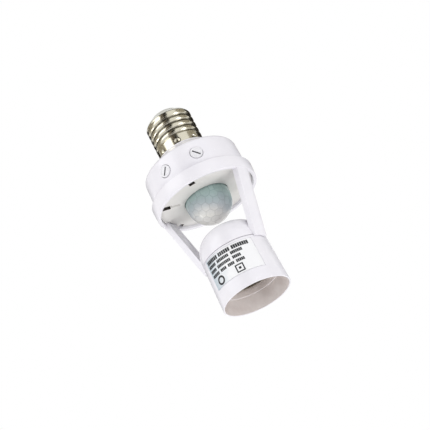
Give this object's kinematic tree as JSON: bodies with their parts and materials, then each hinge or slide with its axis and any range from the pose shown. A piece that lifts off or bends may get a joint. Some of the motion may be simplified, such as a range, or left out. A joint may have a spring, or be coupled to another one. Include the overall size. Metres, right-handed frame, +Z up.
{
  "type": "motion sensor lamp holder",
  "caption": "Screw-cap lamp adapter with a domed heat-sensor housing, two legs and a screw socket for a lamp below.",
  "frame": {"origin": "centre of the lower mouth's rim, on the plane that the rim stands on", "axes": "+Z up along the cap and socket axis, +X through one leg, -Y towards the time knob"},
  "size_m": [0.0586, 0.0586, 0.1209],
  "materials": {
    "white_plastic": "white glossy moulded plastic",
    "deck_plastic": "light grey moulded plastic",
    "dome_plastic": "milky translucent lens plastic",
    "nickel": "nickel plate on a rolled brass shell",
    "brass": "bright pressed brass",
    "steel": "plated steel",
    "core_plastic": "heat resistant insulating moulding",
    "board_laminate": "paper laminate board",
    "black_plastic": "black moulding",
    "blue_plastic": "blue moulding",
    "yellow_plastic": "yellow capacitor case",
    "green_coating": "coated resistor body",
    "dark_glass": "dark filter window",
    "clear_resin": "clear resin",
    "label_film": "white satin film",
    "red_wire": "red wire insulation",
    "blue_wire": "blue wire insulation"
  },
  "bodies": {
    "holder": {"cap_shell": "nickel", "cap_insulator": "deck_plastic", "cap_contact": "brass", "top_cover": "white_plastic", "body_frame": "white_plastic", "leg_cover_right": "white_plastic", "leg_cover_left": "white_plastic", "sensor_deck": "deck_plastic", "fresnel_dome": "dome_plastic", "dome_retainer": "white_plastic", "pir_sensor": "steel", "pir_window": "dark_glass", "light_sensor": "clear_resin", "circuit_board": "board_laminate", "board_screw_right": "steel", "board_screw_left": "steel", "time_pot": "blue_plastic", "lux_pot": "blue_plastic", "relay": "black_plastic", "film_capacitor": "yellow_plastic", "smoothing_capacitor": "black_plastic", "bridge_rectifier": "black_plastic", "fuse_resistor": "green_coating", "control_chip": "black_plastic", "socket_sleeve": "white_plastic", "socket_core": "core_plastic", "socket_shell": "brass", "shell_rivet_front": "brass", "shell_rivet_back": "brass", "contact_rivet": "brass", "rating_label": "label_film", "cap_live_wire": "red_wire", "cap_neutral_wire": "blue_wire", "lamp_live_wire": "red_wire", "lamp_neutral_wire": "blue_wire"},
    "time_knob": {"time_knob": "white_plastic"},
    "lux_knob": {"lux_knob": "white_plastic"},
    "centre_contact": {"centre_contact": "brass"}
  },
  "joints": [
    {"name": "time_knob_turn", "type": "hinge", "parent": "holder", "child": "time_knob", "pos_m": [0.00187, -0.02674, 0.0767], "axis": [0.0697, -0.9972, 0.0279], "range_deg": [-135, 135]},
    {"name": "lux_knob_turn", "type": "hinge", "parent": "holder", "child": "lux_knob", "pos_m": [0.01928, -0.01862, 0.0767], "axis": [0.7191, -0.6944, 0.0279], "range_deg": [-135, 135]},
    {"name": "centre_contact_flex", "type": "hinge", "parent": "holder", "child": "centre_contact", "pos_m": [0.0052, 0, 0.03055], "axis": [0, 1, 0], "range_deg": [0, 6], "stiffness_Nm_per_rad": 0.2}
  ]
}
